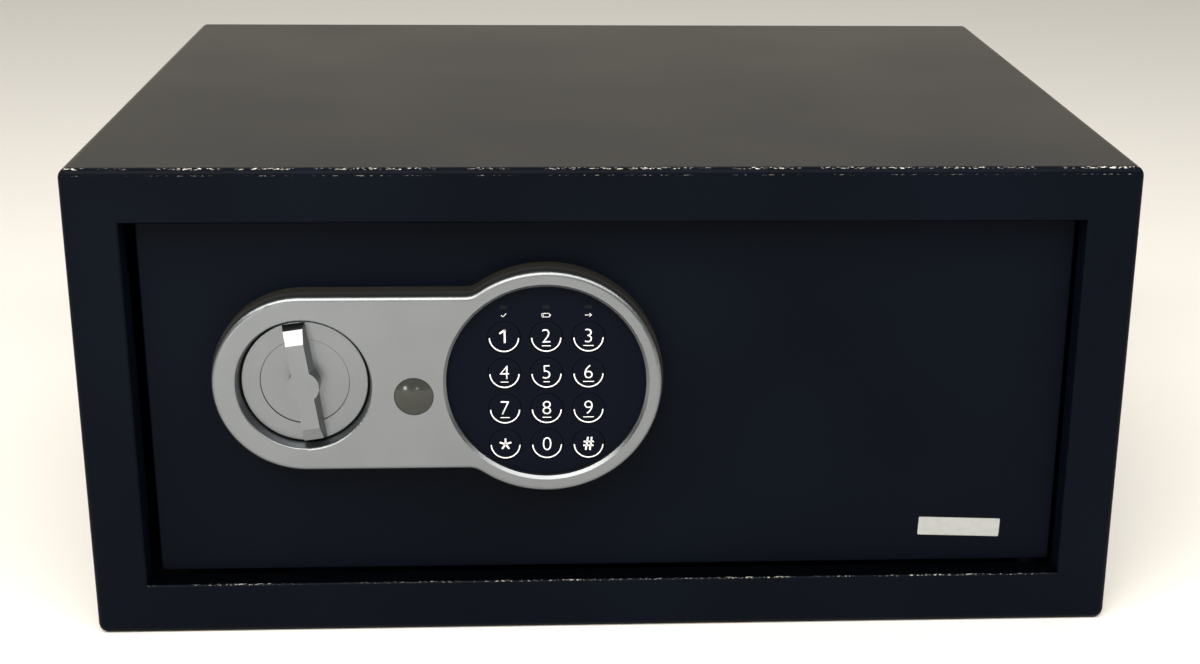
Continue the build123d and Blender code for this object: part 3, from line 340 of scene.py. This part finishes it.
def turned_brass():
    """Brass off the lathe: warm metal, finely ringed."""
    finish, tree, place = begin("turned_brass")
    wave = {"Vector": place, "Scale": per(3.0), "Distortion": 0.4}
    rings = add(tree, "ShaderNodeTexWave", wave, "Fac", bands_direction="Y")
    shades = {0: rings, 6: linear("#b08d4c"), 7: linear("#c9a765")}
    close(
        tree,
        Base_Color=add(tree, "ShaderNodeMix", shades, 2, data_type="RGBA"),
        Metallic=1.0,
        Roughness=0.28,
        Normal=add(tree, "ShaderNodeBump", {"Height": rings, "Distance": 0.01 * MM}),
    )
    return finish


def wound_copper():
    """Lacquered magnet wire: dark red metal in turns, drawn a little coarse, so that they show."""
    finish, tree, place = begin("lacquered_copper_wire")
    turns = add(tree, "ShaderNodeTexWave", {"Vector": place, "Scale": per(2.4)}, "Fac", bands_direction="Z")
    shades = {0: turns, 6: linear("#5e2c18"), 7: linear("#b8673a")}
    close(
        tree,
        Base_Color=add(tree, "ShaderNodeMix", shades, 2, data_type="RGBA"),
        Metallic=0.8,
        Roughness=0.3,
        Normal=add(tree, "ShaderNodeBump", {"Height": turns, "Distance": 0.15 * MM}),
    )
    return finish


def circuit_board():
    """Green solder mask, slightly glossy, over copper tracks that show as lighter lines."""
    finish, tree, place = begin("solder_mask_green")
    tracks = {
        "Vector": place,
        "Scale": per(9.0),
        "Mortar Size": 0.03,
        "Color1": linear("#0f3d22"),
        "Color2": linear("#12472a"),
        "Mortar": linear("#2c6a3d"),
    }
    close(tree, Base_Color=add(tree, "ShaderNodeTexBrick", tracks), Roughness=0.35, Coat_Weight=0.3)
    return finish


def needle_felt():
    """Needle-punched felt: matt charcoal fibres, tangled and slightly fuzzy."""
    finish, tree, place = begin("needle_felt_charcoal")
    fibre = add(tree, "ShaderNodeTexNoise", {"Vector": place, "Scale": per(0.9), "Detail": 6.0})
    cells = {"Vector": place, "Scale": per(2.2)}
    tangle = add(tree, "ShaderNodeTexVoronoi", cells, "Distance", feature="DISTANCE_TO_EDGE")
    close(
        tree,
        Base_Color=mottled(tree, fibre, "#141416", "#262628"),
        Roughness=0.95,
        Specular_IOR_Level=0.1,
        Normal=add(tree, "ShaderNodeBump", {"Height": tangle, "Distance": 0.4 * MM}),
    )
    return finish


def cell_sleeve():
    """Shrink sleeve of a dry cell: glossy dark body with a copper-coloured band at its nub."""
    finish, tree, place = begin("shrink_sleeve_cell")
    x = add(tree, "ShaderNodeSeparateXYZ", {"Vector": place}, "X")
    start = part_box("battery_cells")[1].x - CELL_BAND
    band = add(tree, "ShaderNodeMath", {0: x, 1: start}, operation="GREATER_THAN")
    shades = {0: band, 6: linear("#17181b"), 7: linear("#a9683a")}
    colour = add(tree, "ShaderNodeMix", shades, 2, data_type="RGBA")
    close(tree, Base_Color=colour, Roughness=0.25, Coat_Weight=0.4)
    return finish


def plain_face(name, dark, light, roughness, grain):
    """A flat, smooth face with the faintest clouds in it, whose size is in millimetres."""
    finish, tree, place = begin(name)
    fine = add(tree, "ShaderNodeTexNoise", {"Vector": place, "Scale": per(grain)})
    close(tree, Base_Color=mottled(tree, fine, dark, light), Roughness=roughness)
    return finish


# Powder-coated sheet, without and with painted light: painted shade on the ledge under the door and painted
# glints along the edges that catch the light
COAT = powder_coat("powder_coat_navy", False)
PAINTED_LIGHT_COAT = powder_coat("powder_coat_navy_painted_light", True)
# Lacquered ABS: the fascia's even silver, and the knob's with a painted shade line in its step
SILVER = satin_silver("silver_lacquer_satin")
KNOB_SILVER = satin_silver("silver_lacquer_knob", (KNOB_CENTRE, KNOB_STEP, KNOB_STEP_HALF))
# Spark-grained ABS: matt, warm charcoal that hides its edges in shade
CHARCOAL = moulded("abs_charcoal_grained", "#1b1a18", "#23221f", 0.5, 0.8, 0.02, 0.2)
# Hard-coated polycarbonate: deep blue-black, nearly without a reflection, behind the white print
FACE = moulded("polycarbonate_black_face", "#070b14", "#0a0e18", 0.5, 0.7, 0.004, 0.03)
KEYS = moulded("polycarbonate_black_keys", "#070b14", "#0a0e18", 0.5, 0.7, 0.004, 0.03)
# Polished ABS: olive grey that mirrors two small lamps as sharp spots
CAP = moulded("abs_grey_gloss", "#2f312e", "#343633", 0.14, 6.0, 0.003, 0.32)
# Plated and bare metals of the bolt work and the locks
ZINC = zinc_plate()
BRASS = turned_brass()
COPPER = wound_copper()
BOARD = circuit_board()
# Acetal as moulded: waxy, half matt, black for the housings and off-white for the bearings
DARK_ACETAL = moulded("acetal_black", "#0c0c0e", "#111113", 0.45, 2.0, 0.01, 0.1)
ACETAL = moulded("acetal_natural", "#d9d9d3", "#e4e4de", 0.4, 2.0, 0.01)
# Silicone rubber: dull mid grey
RUBBER = moulded("silicone_grey", "#4a4b4c", "#555657", 0.7, 1.0, 0.02)
# Smoked acrylic: dark windows that barely stand out while the lamps are off
LENS = moulded("smoked_lens", "#0b1012", "#0e1416", 0.35, 4.0, 0.002, 0.08)
# Extruded PVC: black, soft sheen
LEAD = moulded("pvc_lead_black", "#0d0d0e", "#151516", 0.45, 1.5, 0.01)
# Glossy ABS: signal red, so that the code button is found inside the door
RED = moulded("abs_red", "#8c1713", "#98201a", 0.3, 3.0, 0.005)
SLEEVE = cell_sleeve()
FELT = needle_felt()
# Blank polyester label: pale satin face
LABEL = plain_face("polyester_label", "#9ea1a1", "#a7a9a9", 0.35, 3.0)
# Screen-printing ink: white, flat and dense
INK_WHITE = plain_face("screen_ink_white", "#f2f3f5", "#fafafa", 0.5, 0.6)

FINISHES = {
    "cabinet_paint": COAT,
    "bare_steel": ZINC,
    "mat_felt": FELT,
    "acetal": ACETAL,
    "black_acetal": DARK_ACETAL,
    "silver_plastic": SILVER,
    "charcoal_plastic": CHARCOAL,
    "black_face": FACE,
    "key_plastic": KEYS,
    "membrane_rubber": RUBBER,
    "circuit_board": BOARD,
    "smoked_lens": LENS,
    "turned_brass": BRASS,
    "wound_copper": COPPER,
    "cap_plastic": CAP,
    "lead_sheath": LEAD,
    "cell_wrap": SLEEVE,
    "red_plastic": RED,
}
NODE_FINISHES = {"body_wrap": PAINTED_LIGHT_COAT, "front_frame": PAINTED_LIGHT_COAT, "knob": KNOB_SILVER}


def dress_nodes():
    """Give every CAD node its own finish, or that of its slot."""
    for part in frame["record"]["subparts"]:
        node = frame["nodes"][part["node"]]
        finish = NODE_FINISHES.get(part["node"], FINISHES[part["material_slot"]])
        if not node.material_slots:
            node.data.materials.append(finish)
        for holder in node.material_slots:
            holder.material = finish


def shown(name, shape, finish):
    """An object at the origin, made of a bmesh and its finish."""
    mesh = bpy.data.meshes.new(name)
    shape.to_mesh(mesh)
    shape.free()
    mesh.materials.append(finish)
    made = bpy.data.objects.new(name, mesh)
    bpy.context.scene.collection.objects.link(made)
    return made


def piece(name, shape, finish, body):
    """A finished piece that rides on its body."""
    made = shown(name, shape, finish)
    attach(made, body)
    return made


def facing_door(x, y, z):
    """The placement of a flat shape drawn in X and Y onto a face that looks forwards."""
    return Matrix.Translation((x, y, z)) @ Matrix.Rotation(math.pi / 2, 4, "X")


def join(target, part, matrix):
    """Add one bmesh to another, moved by a matrix."""
    bmesh.ops.transform(part, matrix=matrix, verts=part.verts)
    mesh = bpy.data.meshes.new("part")
    part.to_mesh(mesh)
    part.free()
    target.from_mesh(mesh)
    bpy.data.meshes.remove(mesh)


def corners_of(items):
    """The vertices among what an operator gives back."""
    return [item for item in items if isinstance(item, bmesh.types.BMVert)]


def closed_line(shape, points):
    """A closed line through points, as its vertices and its edges."""
    corners = [shape.verts.new(point) for point in points]
    pairs = zip(corners, corners[1:] + corners[:1])
    return corners, [shape.edges.new(pair) for pair in pairs]


def spun(shape, corners, edges, **turn):
    """Spin a closed section and close both of its ends."""
    done = bmesh.ops.spin(shape, geom=corners + edges, **turn)
    bmesh.ops.contextual_create(shape, geom=corners)
    bmesh.ops.contextual_create(shape, geom=corners_of(done["geom_last"]))
    bmesh.ops.recalc_face_normals(shape, faces=shape.faces)


def strip(shape, width, height, thickness):
    """A flat bar round the origin, its back on the plane."""
    made = bmesh.ops.create_cube(shape, size=1.0)["verts"]
    bmesh.ops.scale(shape, verts=made, vec=(width, height, thickness))
    bmesh.ops.translate(shape, verts=made, vec=(0, 0, thickness / 2))


def key_arc(shape):
    """The printed arc round the lower half of a key."""
    inner, outer = ARC_RADIUS - ARC_LINE / 2, ARC_RADIUS + ARC_LINE / 2
    corners, edges = closed_line(shape, [(inner, 0, 0), (outer, 0, 0), (outer, 0, INK), (inner, 0, INK)])
    bmesh.ops.rotate(shape, verts=corners, matrix=Matrix.Rotation(math.radians(ARC_START), 3, "Z"))
    spun(
        shape,
        corners,
        edges,
        axis=(0, 0, 1),
        cent=(0, 0, 0),
        angle=math.radians(ARC_SWEEP),
        steps=round(ARC_SWEEP / ARC_STEP),
    )


def written(shape, text, height, bold):
    """A sign of plain type, centred on the origin and scaled to a height."""
    curve = bpy.data.curves.new("sign", "FONT")
    curve.body = text
    curve.size = height
    curve.offset = bold
    curve.resolution_u = 6
    holder = bpy.data.objects.new("sign", curve)
    bpy.context.scene.collection.objects.link(holder)
    bpy.context.view_layer.update()
    mesh = bpy.data.meshes.new_from_object(holder)
    bpy.data.objects.remove(holder)
    shape.from_mesh(mesh)
    bpy.data.meshes.remove(mesh)
    low = Vector([min(vert.co[axis] for vert in shape.verts) for axis in range(3)])
    high = Vector([max(vert.co[axis] for vert in shape.verts) for axis in range(3)])
    bmesh.ops.translate(shape, verts=shape.verts, vec=-(low + high) / 2)
    size = height / (high.y - low.y)
    bmesh.ops.scale(shape, verts=shape.verts, vec=(size, size, 1.0))
    raised = bmesh.ops.extrude_face_region(shape, geom=shape.faces[:])["geom"]
    bmesh.ops.translate(shape, verts=corners_of(raised), vec=(0, 0, INK))
    bmesh.ops.recalc_face_normals(shape, faces=shape.faces)


def stroked(shape, strokes, unit, line):
    """A sign of straight strokes, drawn round the origin."""
    for x0, y0, x1, y1 in strokes:
        start = Vector((x0, y0)) * unit
        end = Vector((x1, y1)) * unit
        stroke = bmesh.new()
        strip(stroke, (end - start).length + line, line, INK)
        turn = math.atan2(end.y - start.y, end.x - start.x)
        middle = (start + end) / 2
        place = Matrix.Translation((middle.x, middle.y, 0)) @ Matrix.Rotation(turn, 4, "Z")
        join(shape, stroke, place)


def key_print(name, text):
    """The print on one key: its sign, the arc under it and the dash that some keys have."""
    low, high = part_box(name)
    x = (low.x + high.x) / 2
    z = (low.z + high.z) / 2
    shape = bmesh.new()
    sign = bmesh.new()
    if text in STROKES:
        stroked(sign, STROKES[text], (DIGIT_HEIGHT - STROKE) / 2, STROKE)
    else:
        written(sign, text, DIGIT_HEIGHT, DIGIT_BOLD)
    join(shape, sign, facing_door(x, KEY_FACE, z + (LAST_ROW_RISE if text in LAST_ROW else DIGIT_RISE)))
    arc = bmesh.new()
    key_arc(arc)
    join(shape, arc, facing_door(x, KEY_FACE, z))
    if text in DASHES:
        dash = bmesh.new()
        strip(dash, DASHES[text] * MM, DASH_HEIGHT, INK)
        join(shape, dash, facing_door(x, KEY_FACE, z - DASH_DROP))
    piece(name + "_print", shape, INK_WHITE, name)


def key_prints():
    """Print on all twelve keys."""
    for digit in "1234567890":
        key_print("key_" + digit, digit)
    key_print("key_star", "*")
    key_print("key_hash", "#")


def lamp_signs():
    """A plain sign under each lamp window, in line with its column of keys."""
    low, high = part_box("led_lenses")
    for column, strokes in LAMP_SIGNS.items():
        left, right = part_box(column)
        shape = bmesh.new()
        stroked(shape, strokes, MM, LAMP_STROKE)
        place = facing_door((left.x + right.x) / 2, PANEL_FACE, (low.z + high.z) / 2 - LAMP_DROP)
        bmesh.ops.transform(shape, matrix=place, verts=shape.verts)
        piece("lamp_sign_over_" + column, shape, INK_WHITE, "door")


def label():
    """The blank label, stuck on the door slightly out of level."""
    shape = bmesh.new()
    strip(shape, LABEL_SIZE[0], LABEL_SIZE[1], LABEL_THICKNESS)
    upright = [edge for edge in shape.edges if edge.verts[0].co.xy == edge.verts[1].co.xy]
    bmesh.ops.bevel(
        shape, geom=upright, offset=LABEL_CORNER, affect="EDGES", segments=4, profile=0.5, material=-1
    )
    tilt = Matrix.Rotation(math.radians(-LABEL_TILT), 4, "Z")
    place = facing_door(LABEL_PLACE[0], DOOR_FACE, LABEL_PLACE[1])
    bmesh.ops.transform(shape, matrix=place @ tilt, verts=shape.verts)
    piece("door_label", shape, LABEL, "door")


def mat():
    """The loose felt mat on the floor, cut away round the four anchor holes, with a slight lie of its own."""
    low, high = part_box("floor_mat")
    shape = bmesh.new()
    rim = ((low.x, low.y), (high.x, low.y), (high.x, high.y), (low.x, high.y))
    closed_line(shape, [(x, y, low.z) for x, y in rim])
    for x in (-MAT_HOLE_X, MAT_HOLE_X):
        for y in (-MAT_HOLE_Y, MAT_HOLE_Y):
            place = Matrix.Translation((x, y, low.z))
            bmesh.ops.create_circle(shape, segments=MAT_HOLE_SIDES, radius=MAT_HOLE, matrix=place)
    bmesh.ops.triangle_fill(shape, edges=shape.edges[:], use_beauty=True)
    for axis, start, end in (((1, 0, 0), low.x, high.x), ((0, 1, 0), low.y, high.y)):
        count = round((end - start) / MAT_GRID)
        for index in range(1, count):
            at = start + (end - start) * index / count
            bmesh.ops.bisect_plane(
                shape,
                geom=shape.verts[:] + shape.edges[:] + shape.faces[:],
                plane_co=[at * part for part in axis],
                plane_no=axis,
            )
    raised = bmesh.ops.extrude_face_region(shape, geom=shape.faces[:])["geom"]
    for vert in corners_of(raised):
        vert.co.z = high.z - MAT_TOP + MAT_LIE * noise.noise(vert.co * MAT_WAVES)
    bmesh.ops.recalc_face_normals(shape, faces=shape.faces)
    made = piece("felt_mat", shape, FELT, "cabinet")
    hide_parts("floor_mat")


def spring():
    """The plunger's coil spring, wound at rest between the solenoid's frame and the plunger."""
    low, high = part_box("plunger_spring")
    middle = Vector(((low.x + high.x) / 2, (low.y + high.y) / 2, 0))
    radius = (high.x - low.x) / 2 - WIRE_RADIUS
    steps = SPRING_TURNS * SPRING_STEPS
    shape = bmesh.new()
    start = Matrix.Translation((middle.x + radius, middle.y, low.z + WIRE_RADIUS))
    place = start @ Matrix.Rotation(math.pi / 2, 4, "X")
    section = bmesh.ops.create_circle(
        shape, segments=WIRE_SIDES, radius=WIRE_RADIUS, matrix=place, cap_ends=False
    )["verts"]
    spun(
        shape,
        section,
        shape.edges[:],
        cent=middle,
        axis=(0, 0, 1),
        dvec=(0, 0, (high.z - low.z - 2 * WIRE_RADIUS) / steps),
        angle=2 * math.pi * SPRING_TURNS,
        steps=steps,
    )
    made = shown("plunger_coil_spring", shape, ZINC)
    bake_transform(made)
    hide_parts("plunger_spring")


def floor():
    """A plain pale floor under the safe."""
    shape = bmesh.new()
    bmesh.ops.create_grid(shape, x_segments=1, y_segments=1, size=FLOOR_REACH)
    finish, tree, _ = begin("studio_floor_white")
    close(tree, Base_Color=linear("#e4e3e1"), Roughness=0.8, Specular_IOR_Level=0.2)
    shown("studio_floor", shape, finish)


def softbox(name, place, aim, size, power, colour):
    """A rectangular soft light aimed at a point."""
    lamp = bpy.data.lights.new(name, "AREA")
    lamp.shape = "RECTANGLE"
    lamp.size, lamp.size_y = size
    lamp.energy = power
    lamp.color = linear(colour)[:3]
    holder = bpy.data.objects.new(name, lamp)
    holder.location = place
    holder.rotation_euler = (Vector(aim) - Vector(place)).to_track_quat("-Z", "Y").to_euler()
    bpy.context.scene.collection.objects.link(holder)


def surround():
    """A pale surround: bright and warm behind the safe, where its top mirrors it, and dim in front."""
    world = bpy.data.worlds.new("studio_surround")
    world.use_nodes = True
    tree = world.node_tree
    tree.nodes.clear()
    direction = add(tree, "ShaderNodeTexCoord", output="Generated")
    depth = add(tree, "ShaderNodeSeparateXYZ", {"Vector": direction}, "Y")
    span = {"Value": depth, "From Min": -0.3, "From Max": 0.9}
    behind = add(tree, "ShaderNodeMapRange", span, interpolation_type="SMOOTHSTEP")
    glow = add(tree, "ShaderNodeMapRange", {"Value": behind, "To Min": FRONT_GLOW, "To Max": BACK_GLOW})
    shades = {0: behind, 6: linear("#eef2f8"), 7: linear("#fff5e2")}
    colour = add(tree, "ShaderNodeMix", shades, 2, data_type="RGBA")
    shade = add(tree, "ShaderNodeBackground", {"Color": colour, "Strength": glow})
    add(tree, "ShaderNodeOutputWorld", {"Surface": shade})
    bpy.context.scene.world = world


def light():
    """The soft lights and the surround."""
    for name, row in LIGHTS.items():
        softbox(name, *row)
    surround()


def camera():
    """The photograph's viewpoint."""
    lens = bpy.data.cameras.new("camera")
    lens.lens = CAMERA_LENS
    lens.sensor_width = CAMERA_SENSOR
    lens.shift_x, lens.shift_y = CAMERA_SHIFT
    holder = bpy.data.objects.new("camera", lens)
    holder.location = CAMERA_PLACE
    holder.rotation_euler = Euler([math.radians(angle) for angle in CAMERA_TURN])
    bpy.context.scene.collection.objects.link(holder)
    bpy.context.scene.camera = holder


dress_nodes()
key_prints()
lamp_signs()
label()
mat()
spring()
floor()
light()
camera()
bpy.context.scene.view_settings.view_transform = "Standard"
